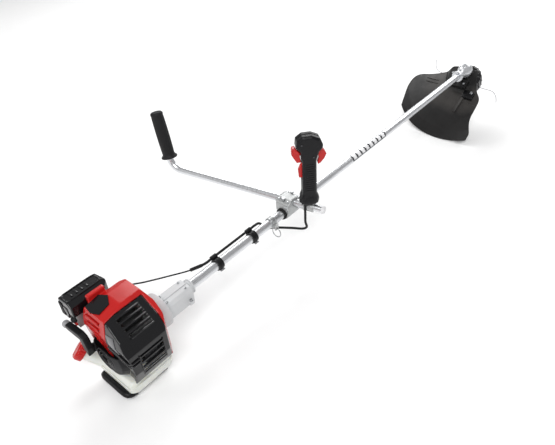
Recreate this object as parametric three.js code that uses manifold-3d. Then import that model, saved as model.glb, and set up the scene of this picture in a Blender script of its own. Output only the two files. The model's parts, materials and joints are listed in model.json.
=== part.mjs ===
// A petrol string trimmer with a two-handed handlebar, standing level on its tank stand and its guard.
// Millimetres, +Z up. The drive tube runs along +Y, nose slightly up; the operator's right hand is at +X.
// The origin is the middle of the stand's flat foot.

import * as THREE from "three";
import { mergeVertices } from "three/addons/utils/BufferGeometryUtils.js";
import Module from "manifold-3d";

const wasm = await Module();
wasm.setup();

// ---- Driving dimensions. Lengths along the tube are measured from the clutch housing's mouth. ----

const gap = 0.3;                 // clearance between pieces that touch or run on each other
const tubeRadius = 13;           // drive tube, outside
const tubeWall = 1.6;
const tubeStart = -70;
const tubeEnd = 1500;
const shaftRadius = 4;           // solid drive shaft inside the tube
const headTilt = Math.PI / 6;    // how far the line head leans forward from square to the tube
const gearY = 1530;              // where the head's spin axis crosses the tube's axis
const guardRadius = 278;         // guard rim, from the spin axis
const guardDrop = 92;            // guard rim, below the crossing point along the spin axis
const standY = -198;             // middle of the stand's foot
const standDrop = 140;           // foot below the tube axis
const barRadius = 11;            // handlebar tube, outside
const barWall = 1.5;
const bracketY = 389;            // handlebar bracket
const barLift = 32;              // handlebar axis above the tube axis at the bracket
const barRight = 112;            // bracket to the bar's right end, along the bar
const handleAt = 66;             // bracket to the control handle, along the bar
const handleYaw = 0.7;           // the control handle faces forward and right
const crankRadius = 11;          // half the piston's stroke
const rodLength = 38;            // wrist pin to crank pin
const cylinderY = -190;          // cylinder axis
const boreRadius = 17.5;
const starterCentre = [-2, -22]; // starter housing, in X and Z
const starterRadius = 62;

// The whole machine leans back until the foot and the guard's rim touch the same floor.
const rimY = gearY + guardDrop * Math.sin(headTilt) - guardRadius * Math.cos(headTilt);
const rimDrop = guardDrop * Math.cos(headTilt) + guardRadius * Math.sin(headTilt);
const noseUp = Math.atan2(rimDrop - standDrop, rimY - standY);

const leftCorner = new THREE.Vector3(-372, 281, 54.5);    // where the bar turns up into the left grip
const barMiddle = new THREE.Vector3(0, bracketY, barLift);
const barDirection = barMiddle.clone().sub(leftCorner).normalize();
const leftGripAxis = new THREE.Vector3(-0.25, 0.06, 1).normalize();
const upwards = new THREE.Vector3(0, 0, 1);

// ---- Finishes ----

const finish = (color, roughness, metalness) => () =>
  new THREE.MeshStandardMaterial({ color, roughness, metalness });
const aluminium = finish(0xc9ccce, 0.35, 1);
const castMetal = finish(0xb4b7b8, 0.55, 1);
const steel = finish(0x8e9193, 0.35, 1);
const blackPlastic = finish(0x17181a, 0.45, 0);
const glossBlack = finish(0x0c0d0e, 0.2, 0);
const guardBlack = finish(0x2a2b2c, 0.5, 0);
const redPlastic = finish(0xc81d1c, 0.3, 0);
const milkPlastic = finish(0xe6e8df, 0.45, 0);
const blackRubber = finish(0x1a1b1c, 0.85, 0);
const nylon = finish(0xd6d3c8, 0.4, 0);
const foam = finish(0x3a3b3c, 0.95, 0);

// ---- Solids: joining, cutting and the basic shapes ----

function solidOf(geometry) {
  const bare = geometry.clone();
  bare.deleteAttribute("normal");
  bare.deleteAttribute("uv");
  const merged = mergeVertices(bare, 1e-4);
  const corners = merged.index.array;
  const kept = [];
  for (let i = 0; i < corners.length; i += 3) {
    const [a, b, c] = [corners[i], corners[i + 1], corners[i + 2]];
    if (a !== b && b !== c && c !== a) kept.push(a, b, c);
  }
  const vertProperties = merged.attributes.position.array;
  const triVerts = Uint32Array.from(kept);
  return new wasm.Manifold(new wasm.Mesh({ numProp: 3, vertProperties, triVerts }));
}

function geometryOf(solid) {
  const mesh = solid.getMesh();
  const geometry = new THREE.BufferGeometry();
  geometry.setAttribute("position", new THREE.BufferAttribute(mesh.vertProperties, 3));
  geometry.setIndex(new THREE.BufferAttribute(mesh.triVerts, 1));
  return geometry;
}

function join(...shapes) {
  return geometryOf(shapes.map(solidOf).reduce((sum, solid) => sum.add(solid)));
}

function cut(base, ...tools) {
  return geometryOf(tools.map(solidOf).reduce((rest, tool) => rest.subtract(tool), solidOf(base)));
}

function common(first, second) {
  return geometryOf(solidOf(first).intersect(solidOf(second)));
}

// A box from its lowest to its highest corner.
function block([x0, y0, z0], [x1, y1, z1]) {
  const box = new THREE.BoxGeometry(x1 - x0, y1 - y0, z1 - z0);
  return box.translate((x0 + x1) / 2, (y0 + y1) / 2, (z0 + z1) / 2);
}

// A round bar between two points.
function rod(from, to, radius, sides = 16) {
  const start = new THREE.Vector3(...from);
  const end = new THREE.Vector3(...to);
  const along = end.clone().sub(start);
  const bar = new THREE.CylinderGeometry(radius, radius, along.length(), sides);
  const turn = new THREE.Quaternion().setFromUnitVectors(new THREE.Vector3(0, 1, 0), along.normalize());
  bar.applyQuaternion(turn);
  const middle = start.add(end).multiplyScalar(0.5);
  return bar.translate(middle.x, middle.y, middle.z);
}

// A profile of [radius, y] points turned about the Y axis. It ends on the axis or closes on itself.
function turned(profile, sides = 24) {
  const points = profile.map(([radius, y]) => new THREE.Vector2(radius, y));
  if (profile[0][0] > 0) points.push(points[0].clone());
  if (THREE.ShapeUtils.area(points) < 0) points.reverse();
  return new THREE.LatheGeometry(points, sides);
}

// The same, turned about the Z axis: the profile is [radius, z].
function turnedZ(profile, sides = 24) {
  return turned(profile, sides).rotateX(Math.PI / 2);
}

// A ring about the Y axis.
function ringY(outer, inner, y0, y1, sides = 24) {
  return turned([[outer, y0], [outer, y1], [inner, y1], [inner, y0]], sides);
}

function outline(points) {
  return new THREE.Shape(points.map(([u, v]) => new THREE.Vector2(u, v)));
}

// The same outline with every edge moved inwards by the wall.
function inset(points, wall) {
  const corners = points.map(([u, v]) => new THREE.Vector2(u, v));
  const side = THREE.ShapeUtils.area(corners) > 0 ? wall : -wall;
  const inward = (from, to) => {
    const edge = to.clone().sub(from).normalize();
    return new THREE.Vector2(-edge.y, edge.x);
  };
  return corners.map((corner, i) => {
    const before = inward(corners.at(i - 1), corner);
    const after = inward(corner, corners[(i + 1) % corners.length]);
    const move = before.clone().add(after).multiplyScalar(side / (1 + before.dot(after)));
    return [corner.x + move.x, corner.y + move.y];
  });
}

function extruded(points, depth, bevel) {
  const shape = points instanceof THREE.Shape ? points : outline(points);
  return new THREE.ExtrudeGeometry(shape, {
    depth: depth - 2 * bevel,
    bevelEnabled: bevel > 0,
    bevelThickness: bevel,
    bevelSize: bevel,
    bevelOffset: -bevel,
    bevelSegments: 1,
    curveSegments: 10,
  }).translate(0, 0, bevel);
}

// An outline in X and Z, extruded along Y.
function extrudedY(points, y0, y1, bevel = 0) {
  return extruded(points, y1 - y0, bevel).rotateX(Math.PI / 2).translate(0, y1, 0);
}

// An outline in Y and Z, extruded along X.
function extrudedX(points, x0, x1, bevel = 0) {
  const turn = new THREE.Matrix4().makeBasis(
    new THREE.Vector3(0, 1, 0), new THREE.Vector3(0, 0, 1), new THREE.Vector3(1, 0, 0));
  return extruded(points, x1 - x0, bevel).applyMatrix4(turn).translate(x0, 0, 0);
}

// An outline in X and Y, extruded along Z.
function extrudedZ(points, z0, z1, bevel = 0) {
  return extruded(points, z1 - z0, bevel).translate(0, 0, z0);
}

// A curve through listed points, which a section is swept along with one step between neighbours.
class Route extends THREE.Curve {
  constructor(points) {
    super();
    this.points = points;
  }

  getPoint(t, target = new THREE.Vector3()) {
    const place = t * (this.points.length - 1);
    const before = Math.min(Math.floor(place), this.points.length - 2);
    return target.lerpVectors(this.points[before], this.points[before + 1], place - before);
  }

  getPointAt(u, target) {
    return this.getPoint(u, target);
  }

  getTangentAt(u, target = new THREE.Vector3()) {
    const step = 0.5 / (this.points.length - 1);
    const ahead = this.getPoint(Math.min(1, u + step));
    const behind = this.getPoint(Math.max(0, u - step));
    return target.subVectors(ahead, behind).normalize();
  }
}

// Straight runs between corners, each corner rounded over the given distance to either side of it.
function roundedRoute(corners, distances, steps = 6) {
  const points = [corners[0]];
  for (let i = 1; i < corners.length - 1; i += 1) {
    const corner = corners[i];
    const reach = distances[i - 1];
    const towards = (other) => corner.clone().add(other.clone().sub(corner).setLength(reach));
    const bend = new THREE.QuadraticBezierCurve3(towards(corners[i - 1]), corner, towards(corners[i + 1]));
    points.push(...bend.getPoints(steps));
  }
  points.push(corners[corners.length - 1]);
  return new Route(points);
}

// A smooth curve through hand-placed points, with about the given spacing.
function smoothRoute(points, spacing) {
  const curve = new THREE.CatmullRomCurve3(points.map((p) => new THREE.Vector3(...p)), false, "centripetal");
  return new Route(curve.getSpacedPoints(Math.round(curve.getLength() / spacing)));
}

function sweep(route, radius, sides, inner = 0) {
  const circle = (r) => new THREE.Path().setFromPoints(
    Array.from({ length: sides }, (_, i) => {
      const angle = (i * 2 * Math.PI) / sides;
      return new THREE.Vector2(r * Math.cos(angle), r * Math.sin(angle));
    }));
  const section = new THREE.Shape(circle(radius).getPoints());
  if (inner > 0) section.holes.push(circle(inner));
  return new THREE.ExtrudeGeometry(section, {
    steps: route.points.length - 1, extrudePath: route, bevelEnabled: false });
}

function piece(parent, name, geometry, look, position = [0, 0, 0]) {
  const mesh = new THREE.Mesh(geometry, look());
  mesh.name = name;
  mesh.position.set(...position);
  parent.add(mesh);
  return mesh;
}

function aim(mesh, direction) {
  mesh.quaternion.setFromUnitVectors(new THREE.Vector3(0, 1, 0), direction);
}

// ---- Drive tube, drive shaft and clutch. Here the origin is the housing's mouth, on the tube axis. ----

function driveTube(parent) {
  piece(parent, "drive_tube", ringY(tubeRadius, tubeRadius - tubeWall, tubeStart, tubeEnd), aluminium);
  piece(parent, "drive_shaft", rod([0, -106, 0], [0, gearY - 8, 0], shaftRadius, 10), steel);
}

// One liner carries the shaft in the tube: a thin sleeve with a ring at both ends and in the middle.
function shaftLiner(parent) {
  const sleeve = shaftRadius + 1.4;
  const ringOutside = tubeRadius - tubeWall - gap;
  const [start, end, rings, ringLength] = [tubeStart + 6, tubeEnd - 6, 3, 18];
  const pitch = (end - start - ringLength) / (rings - 1);
  const profile = [];
  for (let i = 0; i < rings; i += 1) {
    const y = start + i * pitch;
    profile.push([sleeve, y], [ringOutside, y], [ringOutside, y + ringLength], [sleeve, y + ringLength]);
  }
  const bore = [[shaftRadius + gap, end], [shaftRadius + gap, start]];
  piece(parent, "shaft_liner", turned([...profile.slice(1, -1), ...bore], 12), nylon);
}

function clutchHousing(parent) {
  const casing = extrudedY([
    [-18, 20], [18, 20], [26, 12], [26, -28], [18, -36], [-18, -36], [-26, -28], [-26, 12],
  ], -101, -12, 3);
  const collar = rod([0, -14, 0], [0, 0, 0], 18, 20);
  const lug = block([22, -34, -26], [33, -20, -15]);
  const fanCase = ringY(46, 43, -147, -98);
  const frontPlate = ringY(46, 6, -102, -98);
  const hubRoom = rod([0, -103, 0], [0, -82, 0], 9.5, 20);
  const tubeSocket = rod([0, tubeStart - 1, 0], [0, 1, 0], tubeRadius + gap, 24);
  const shaftHole = rod([0, -103, 0], [0, -60, 0], 5.5, 12);
  const shape = cut(join(casing, collar, lug, fanCase, frontPlate), hubRoom, tubeSocket, shaftHole);
  piece(parent, "clutch_housing", shape, castMetal);
}

function clutch(parent) {
  const hub = 8;
  const bore = shaftRadius + gap;
  piece(parent, "clutch_drum", turned([
    [bore, -107], [26.5, -107], [26.5, -132], [29, -132], [29, -104], [hub, -104], [hub, -84], [bore, -84],
  ], 20), steel);
  const pins = [-17, 17].map((x) => rod([x, -135, 0], [x, -110, 0], 2.5, 8));
  const plate = ringY(22, 5 + gap, -136, -133, 16);
  const boss = ringY(9, 5 + gap, -135, -110, 16);
  piece(parent, "clutch_rotor", join(plate, boss, ...pins), steel);
  for (const [index, turn] of [0, Math.PI].entries()) {
    const arc = new THREE.Shape();
    arc.absarc(0, 0, 24.5, -0.3, 2.6, false);
    arc.absarc(0, 0, 12.2, 2.6, -0.3, true);
    const shoe = cut(extrudedY(arc, -131, -111), rod([17, -140, 0], [17, -100, 0], 2.5 + gap, 8));
    piece(parent, `clutch_shoe_${index + 1}`, shoe.rotateY(turn), castMetal);
  }
}

// ---- Engine ----

// A half crankshaft: its pin is a short stub, so the connecting rod's big end stays clear of it.
function crankTrain(parent) {
  const [front, rear] = [cylinderY + 3.5, cylinderY - 3.5];
  const web = front + 3;
  const shaft = turned([[0, -109.5], [5, -109.5], [5, web + 8], [16, web + 8], [16, web], [0, web]], 20);
  const pin = rod([0, web + 1, crankRadius], [0, front + 0.6, crankRadius], 4.5, 10);
  piece(parent, "crankshaft", join(shaft, pin), steel);

  const blades = Array.from({ length: 10 }, (_, i) =>
    block([33, -139.5, -1], [41, -131, 1]).rotateY((i * Math.PI) / 5));
  piece(parent, "flywheel_fan", join(ringY(41, 5 + gap, -143, -139), ...blades), castMetal);

  const wristZ = crankRadius + rodLength;
  const skirt = cut(rod([0, cylinderY, wristZ - 9], [0, cylinderY, wristZ + 13], boreRadius - gap, 20),
    rod([0, cylinderY, wristZ - 10], [0, cylinderY, wristZ + 9], 13.5, 16));
  const wristPin = rod([0, cylinderY - 15, wristZ], [0, cylinderY + 15, wristZ], 3.5, 10);
  piece(parent, "piston", join(skirt, wristPin), aluminium);

  const eye = (z, radius) => rod([0, rear, z], [0, front, z], radius, 14);
  const shank = block([-3.5, rear, crankRadius + 6], [3.5, front, wristZ - 5]);
  const connectingRod = cut(join(eye(wristZ, 7), eye(crankRadius, 9.5), shank),
    rod([0, rear - 1, wristZ], [0, front + 1, wristZ], 3.5 + gap, 10),
    rod([0, rear - 1, crankRadius], [0, front + 1, crankRadius], 5.5, 12));
  piece(parent, "connecting_rod", connectingRod, steel);
}

const caseTop = 26;               // where the cylinder stands on the crankcase

function crankcase(parent) {
  const body = block([-30, -213, -32], [30, -150, caseTop]);
  const frontFlange = rod([0, -151, 0], [0, -147 - gap, 0], 46, 24);
  const crankRoom = rod([0, -209, 0], [0, -170, 0], 26, 24);
  const shaftHole = rod([0, -180, 0], [0, -140, 0], 5 + gap, 12);
  const bore = rod([0, cylinderY, 0], [0, cylinderY, 40], boreRadius + 0.2, 20);
  piece(parent, "crankcase", cut(join(body, frontFlange), crankRoom, shaftHole, bore), castMetal);
}

function cylinder(parent) {
  const fins = [34, 43, 52, 61].map((z) => block([-31, cylinderY - 24, z], [31, cylinderY + 24, z + 2.5]));
  const barrel = rod([0, cylinderY, caseTop + gap], [0, cylinderY, 70], 22, 20);
  const top = block([-16, cylinderY - 16, 68], [16, cylinderY + 16, 74]);
  const bore = rod([0, cylinderY, 20], [0, cylinderY, 66], boreRadius, 20);
  const plugHole = rod([0, cylinderY, 60], [0, cylinderY, 80], 5 + gap, 10);
  piece(parent, "cylinder", cut(join(barrel, top, ...fins), bore, plugHole), aluminium);
  piece(parent, "spark_plug", turnedZ([
    [0, 66.5], [5, 66.5], [5, 74 + gap], [7.5, 74 + gap], [7.5, 78], [4, 78], [4, 83], [0, 83],
  ], 12), steel, [0, cylinderY, 0]);
  piece(parent, "plug_cap", turnedZ([
    [4.5, 79], [8, 79], [8, 87.5], [0, 87.5], [0, 84], [4.5, 84],
  ], 12), blackRubber, [0, cylinderY, 0]);
  piece(parent, "ignition_coil", block([-62, -172, 12], [-46, -154, 40]), blackPlastic);
}

// The cowl's outer form is one faceted body: its shapes from behind, from the side and from above, combined.
const cowlFromBehind = [
  [-50, -50], [-72, -10], [-76, 60], [-68, 92], [-50, 99], [0, 99], [12, 90], [60, 62], [84, 30], [86, -30],
  [72, -74], [50, -82], [36, -66],
];
const cowlFromSide = [
  [-126, -90], [-124, 70], [-136, 99.5], [-192, 99.5], [-246, 86], [-256, 40], [-250, -20], [-248, -90],
];
const cowlFromAbove = [
  [-100, -300], [-100, -160], [-78, -158], [-54, -126], [24, -126], [62, -131], [88, -151], [100, -300],
];
const cowlWall = 3;

function cowlBody(wall) {
  const [behind, side, plan] = [cowlFromBehind, cowlFromSide, cowlFromAbove].map((points) =>
    (wall ? inset(points, wall) : points));
  const faceted = common(extrudedY(behind, -300, -100), extrudedX(side, -120, 120));
  return common(faceted, extrudedZ(plan, -120, 120));
}

// The black cover takes the cowl's right side, behind a red band at the front.
function coverSide(margin) {
  const edge = 8 - margin;
  return extrudedY([[edge, -120], [140, -120], [140, 160], [edge, 160]], -300, -142 + margin);
}

// Where the cowl's rear wall covers the starter: everything above, and a tongue that narrows downwards.
function rearPanelArea(margin) {
  const edge = [
    [-90, 140], [120, 140], [120, 4 - margin], [6 + margin, 4 - margin], [2 + margin, -34 - margin],
    [-14 - margin, -34 - margin], [-58 - margin, 14 - margin], [-90, 14 - margin],
  ];
  return extrudedY(edge, -300, -246 + margin);
}

// The room that the starter housing takes out of the cowl.
function starterSpace() {
  const [x, z] = starterCentre;
  return cut(rod([x, -275, z], [x, -214, z], starterRadius + gap, 28), rearPanelArea(0));
}

function cowl(parent) {
  const shell = cut(cowlBody(0), cowlBody(cowlWall), block([-62, -275, -92], [67, -110, -57]));
  const vents = Array.from({ length: 5 }, (_, i) => {
    const z = 66 - i * 17;
    return block([-60 + i * 5, -275, z], [-14 - i * 2, -238, z + 7]);
  });
  const windows = [
    block([-90, -212, 24], [-60, -170, 60]),
    rod([0, -152, 0], [0, -100, 0], 46 + gap, 24),
  ];
  const raisedBlock = cut(block([-79, -230, 82], [-66.5, -184, 107]), cowlBody(cowlWall));
  const red = cut(join(shell, raisedBlock), coverSide(gap), ...vents, ...windows, starterSpace());
  piece(parent, "engine_shroud", red, redPlastic);

  const slots = Array.from({ length: 4 }, (_, i) =>
    block([20 + i * 12, -222, 40], [25 + i * 12, -162, 140]));
  const sideSlots = Array.from({ length: 3 }, (_, i) =>
    block([76, -226, -38 + i * 18], [110, -164, -30 + i * 18]));
  piece(parent, "muffler_cover",
    cut(common(shell, coverSide(0)), ...slots, ...sideSlots, starterSpace()), glossBlack);

  const slope = Math.atan2(99.5 - 86, 246 - 192);
  const badge = outline([[-66, -24], [-42, -28], [-20, -19], [-21, 12], [-43, 26], [-64, 14]]);
  const panel = new THREE.ExtrudeGeometry(badge, { depth: 2, bevelEnabled: false });
  panel.rotateX(slope).translate(0, -219, 93.2);
  piece(parent, "badge_panel", panel, glossBlack);
}

function muffler(parent) {
  const box = block([36, -210, -34], [74, -158, 24]);
  const room = block([39, -207, -31], [71, -161, 21]);
  const outlet = rod([56, -162, 4], [56, -148, 4], 6, 12);
  piece(parent, "muffler", cut(box, room, outlet), steel);
}

function starter(parent) {
  const [x, z] = starterCentre;
  const r = starterRadius;
  const dome = turned([
    [r - 3, -216], [r, -216], [r, -246], [r - 10, -260], [34, -266], [0, -266], [0, -263], [33, -263],
    [r - 12, -257.5], [r - 3, -245],
  ], 28).translate(x, 0, z);
  const arm = extrudedY([
    [-46, -34], [-40, -6], [-46, 26], [-60, 34], [-118, 26], [-118, 11], [-64, 14], [-60, -20],
  ], -283, -267, 1);
  const root = block([-59, -269, -33], [-46, -256, -14]);
  const ropeHole = block([-120, -279, 14], [-90, -272, 21]);
  const body = join(cut(dome, rearPanelArea(gap)), root, arm);
  piece(parent, "starter_housing", cut(body, ropeHole), blackPlastic);
  piece(parent, "starter_pulley", turned([
    [3, -222], [30, -222], [30, -225], [24, -228], [24, -238], [30, -241], [30, -244], [3, -244],
  ], 20), blackPlastic);
  const grip = extrudedY([[-132, 6], [-119, 6], [-119, 30], [-132, 30]], -284, -267, 3);
  const ropeEnd = rod([-121, -275.5, 17.5], [-92, -275.5, 17.5], 2, 8);
  piece(parent, "starter_grip", join(grip, ropeEnd), blackPlastic);
}

function fuelTank(parent) {
  const profile = [
    [-135, -118], [-135, -72], [-143, -62], [-204, -62], [-212, -86], [-250, -86], [-262, -96], [-262, -116],
    [-248, -129], [-146, -129],
  ];
  const filler = new THREE.Vector3(-0.6, -0.5, 0.62).normalize();
  const foot = new THREE.Vector3(-64, -248, -98);
  const along = (distance) => foot.clone().addScaledVector(filler, distance).toArray();
  const body = extrudedX(profile, -70, 62, 9);
  const room = extrudedX(inset(profile, 4), -66, 58, 8);
  const neck = rod(along(0), along(64), 17, 18);
  const hole = rod(along(-2), along(70), 14, 18);
  piece(parent, "fuel_tank", cut(join(body, neck), room, hole), milkPlastic);

  const ribs = Array.from({ length: 8 }, (_, i) =>
    block([21, 0, -2], [24, 20, 2]).rotateY((i * Math.PI) / 4));
  const cup = turned([[17 + gap, 0], [22, 0], [22, 18], [18, 22], [0, 22], [0, 14], [17 + gap, 14]], 18);
  aim(piece(parent, "fuel_cap", join(cup, ...ribs), redPlastic, along(50.5)), filler);
}

// The flat foot lies level on the floor, so in the leaning machine it slopes.
function tankStand(parent) {
  const floor = (y) => -standDrop - (y - standY) * Math.tan(noseUp);
  const skid = [
    [-150, floor(-150)], [-246, floor(-246)], [-260, -134], [-269, -114], [-264.5, -114], [-256.5, -130],
    [-243, floor(-243) + 5], [-150, floor(-150) + 5],
  ];
  const rib = [[-158, floor(-158) + 2], [-240, floor(-240) + 2], [-240, -129 - gap], [-158, -129 - gap]];
  const ribs = [-40, 34].map((x) => extrudedX(rib, x, x + 6));
  piece(parent, "tank_stand", join(extrudedX(skid, -48, 48), ...ribs), blackPlastic);
}

// ---- Fuel and air: the carburetor sits low on the left, under the air filter. ----

function carburetor(parent) {
  const body = block([-107, -262, 20], [-86, -226, 56]);
  const elbow = join(block([-105, -227, 26], [-90, -184, 46]), block([-92, -204, 26], [-34, -184, 46]));
  const throat = rod([-97, -240, 30], [-97, -240, 60], 6, 12);
  const bulbSeat = rod([-96, -270, 45], [-96, -257, 45], 8.5, 14);
  piece(parent, "carburetor", cut(join(body, elbow), throat, bulbSeat), castMetal);
  piece(parent, "primer_bulb", turned([
    [0, 0], [8, 0], [8, 3], [7, 7], [4, 10], [0, 11],
  ], 14).rotateX(Math.PI), blackRubber, [-96, -262 - gap, 45]);
  const choke = join(rod([-97, -266, 28], [-97, -262 - gap, 28], 5, 12),
    block([-117, -266, 25.5], [-97, -263, 30.5]));
  piece(parent, "choke_lever", choke, redPlastic);
  const arm = join(rod([-86 + gap, -240, 38], [-82.4, -240, 38], 4.5, 12),
    block([-84.8, -240, 36], [-82.4, -224, 40]));
  piece(parent, "carb_throttle_lever", arm, steel);
}

function airFilter(parent) {
  const profile = [
    [-148, 58], [-140, 36], [-114, 36], [-109, 58.5], [-83, 58.5], [-80, 64], [-84, 90], [-98, 99],
    [-134, 95],
  ];
  const plan = [
    [-150, -248], [-142, -268], [-84, -268], [-78, -184], [-94, -164], [-140, -168], [-150, -182],
  ];
  const body = common(extrudedY(profile, -300, -150), extrudedZ(plan, 20, 140));
  const room = common(extrudedY(inset(profile, 2.5), -300, -150), extrudedZ(inset(plan, 2.5), 20, 140));
  const mouth = block([-104, -258, 55], [-90, -220, 64]);
  piece(parent, "air_filter_cover", cut(body, room, mouth), glossBlack);
  piece(parent, "air_filter_element", block([-132, -258, 64], [-92, -186, 86]), foam);
}

// ---- Along the tube ----

const cableSide = [-14, 16.2];    // the cable beside the tube, in X and Z
const cableRadius = 3.5;          // the conduit; the inner run beside the engine is thinner
const innerCableRadius = 1.9;
const cableHole = cableRadius + 2 * gap;

function cableClips(parent) {
  const [x, z] = cableSide;
  for (const [index, y] of [98, 232].entries()) {
    const boss = rod([x, y - 9, z], [x, y + 9, z], cableRadius + 2.7, 16);
    const band = join(ringY(16.5, 12, y - 9, y + 9), boss);
    const holes = [rod([0, y - 10, 0], [0, y + 10, 0], tubeRadius + gap, 24),
      rod([x, y - 10, z], [x, y + 10, z], cableHole, 16)];
    piece(parent, `cable_clip_${index + 1}`, cut(band, ...holes), blackPlastic);
  }
}

const hangerY = 312;
const ringPivot = [19.5, hangerY, -12];

// The wire ring hangs plumb from its lug.
function hanger(parent) {
  const [x, y, z] = ringPivot;
  const eye = rod([x - 5, y, z], [x + 5, y, z], 3.2, 12);
  const lug = cut(block([x - 2.5, y - 6, z - 5], [x + 2.5, y + 6, 2]), eye);
  const arm = block([12, y - 6, -5], [x + 2, y + 6, 2]);
  const bandAndLug = join(ringY(16, tubeRadius, y - 8, y + 8), lug, arm);
  piece(parent, "hanger_clamp", cut(bandAndLug, rod([0, y - 9, 0], [0, y + 9, 0], tubeRadius + gap, 24)),
    castMetal);
  const ring = new THREE.TorusGeometry(15, 1.5, 6, 20).translate(0, -15, 0).rotateX(Math.PI / 2);
  piece(parent, "hanger_ring", ring, steel, [x, y, z]).rotation.x = -noseUp;
}

const cableEntry = [10, -14];     // where the cable enters the handle's foot, in the handle's own X and Y

// The throttle cable: a thin inner run beside the engine, then a thick conduit to the control handle.
function throttleCable(parent) {
  const [x, z] = cableSide;
  const thin = smoothRoute([
    [-82.5, -216, 44], [-82, -200, 50], [-82, -184, 52], [-81, -150, 51], [-78, -118, 48],
    [-64, -84, 40], [-40, -20, 27], [-24, 20, 21], [x, 60, z],
  ], 24);
  const entry = new THREE.Vector3(...cableEntry, 0).applyAxisAngle(upwards, -handleYaw).add(handleFoot());
  const thick = smoothRoute([
    [-21, 30, 20.5], [x, 66, z], [x, 98, z], [x, 165, z], [x, 232, z], [x, 262, z], [-21, 286, 2],
    [-13, 305, -22], [8, 330, -28], [36, 362, -37], [56, 384, -44], [entry.x + 3, entry.y + 2, -38],
    [entry.x, entry.y, -20], [entry.x, entry.y, 5], [entry.x, entry.y, 30], [entry.x, entry.y, 52],
  ], 13);
  const cable = join(sweep(thin, innerCableRadius, 6), sweep(thick, cableRadius, 8));
  piece(parent, "throttle_cable", cable, blackRubber);
}

// ---- Handlebar, bracket and grips ----

function barPoint(distance) {
  return barMiddle.clone().addScaledVector(barDirection, distance);
}

function handleFoot() {
  return barPoint(handleAt);
}

function barRoute() {
  const leftEnd = leftCorner.clone().addScaledVector(leftGripAxis, 150);
  return roundedRoute([leftEnd, leftCorner, barPoint(barRight)], [32]);
}

function handlebar(parent) {
  const plug = rod(barPoint(barRight - 6).toArray(), barPoint(barRight + 2).toArray(), barRadius + 0.6, 16);
  piece(parent, "handlebar", join(sweep(barRoute(), barRadius, 16, barRadius - barWall), plug), aluminium);
}

function bracket(parent) {
  const y = bracketY;
  const room = rod(barPoint(-60).toArray(), barPoint(60).toArray(), barRadius + gap, 16);
  const tubeHole = rod([0, y - 60, 0], [0, y + 60, 0], tubeRadius + gap, 24);
  const boltHole = (side) => rod([0, y + side * 20, 12], [0, y + side * 20, 60], 3 + gap, 10);
  const base = join(rod([0, y - 27, 0], [0, y + 27, 0], 20, 20),
    block([-24, y - 27, 4], [24, y + 27, barLift - gap]));
  piece(parent, "bracket_base", cut(base, tubeHole, room, boltHole(-1), boltHole(1)), castMetal);
  const cap = extrudedX([
    [y - 27, barLift], [y + 27, barLift], [y + 27, barLift + 6], [y + 13, barLift + 15],
    [y - 13, barLift + 15], [y - 27, barLift + 6],
  ], -24, 24);
  piece(parent, "bracket_cap", cut(cap, room, boltHole(-1), boltHole(1)), castMetal);
  const seat = barLift + 15 + gap;
  for (const [index, side] of [-1, 1].entries()) {
    const bolt = turnedZ([[0, 20], [3, 20], [3, seat], [5.5, seat], [5.5, seat + 5], [0, seat + 5]], 6);
    piece(parent, `bracket_bolt_${index + 1}`, bolt, steel, [0, y + side * 20, 0]);
  }
}

function leftGrip(parent) {
  const inner = barRadius + gap;
  const sleeve = turned([
    [inner, 35], [25, 35], [25, 40], [19, 45], [18.5, 60], [19.5, 110], [19, 172], [15, 180],
    [0, 180], [0, 152], [inner, 152],
  ], 20);
  aim(piece(parent, "left_grip", sleeve, blackRubber, leftCorner.toArray()), leftGripAxis);
}

// ---- Control handle. Here the origin is on the bar's axis, Y runs forward and Z up the handle. ----

const handleProfile = [
  [-24, 18], [24, 18], [25, 40], [20, 54], [19, 160], [26, 186], [36, 196], [37, 206], [28, 226], [8, 236],
  [-18, 236], [-34, 224], [-36, 204], [-24, 188], [-20, 160], [-20, 54], [-25, 40],
];
const handleHalfWidth = 18;

function handleClamp(parent) {
  const bar = barDirection.clone().applyAxisAngle(upwards, handleYaw);
  const along = (distance) => bar.clone().multiplyScalar(distance).toArray();
  const [x, y] = cableEntry;
  const body = join(rod(along(-15), along(15), 15, 18), rod([0, 0, 8], [0, 0, 38], 9, 14));
  const barHole = rod(along(-20), along(20), barRadius + gap, 16);
  const wayThrough = rod([x, y, -30], [x, y, 60], cableHole, 16);
  piece(parent, "handle_clamp", cut(body, barHole, wayThrough), castMetal);
}

function handleShells(parent) {
  const [x, y] = cableEntry;
  const openings = [
    block([-7, 8, 136], [7, 50, 199]),
    block([-5.6, -40, 98], [5.6, -12, 155]),
    block([-4, -40, 168], [4, -14, 188]),
    rod([0, 0, 10], [0, 0, 30], 9 + gap, 14),
    rod([x, y, 10], [x, y, 30], cableHole, 16),
  ];
  const room = extrudedX(inset(handleProfile, 3), -15, 15);
  const outer = extrudedX(handleProfile, -handleHalfWidth, handleHalfWidth, 5);
  for (const [name, side] of [["handle_shell_left", -1], ["handle_shell_right", 1]]) {
    const half = side < 0 ? [-handleHalfWidth, -gap / 2] : [gap / 2, handleHalfWidth];
    const slab = block([half[0], -60, 0], [half[1], 60, 260]);
    piece(parent, name, cut(common(outer, slab), room, ...openings), blackPlastic);
  }
}

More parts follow.
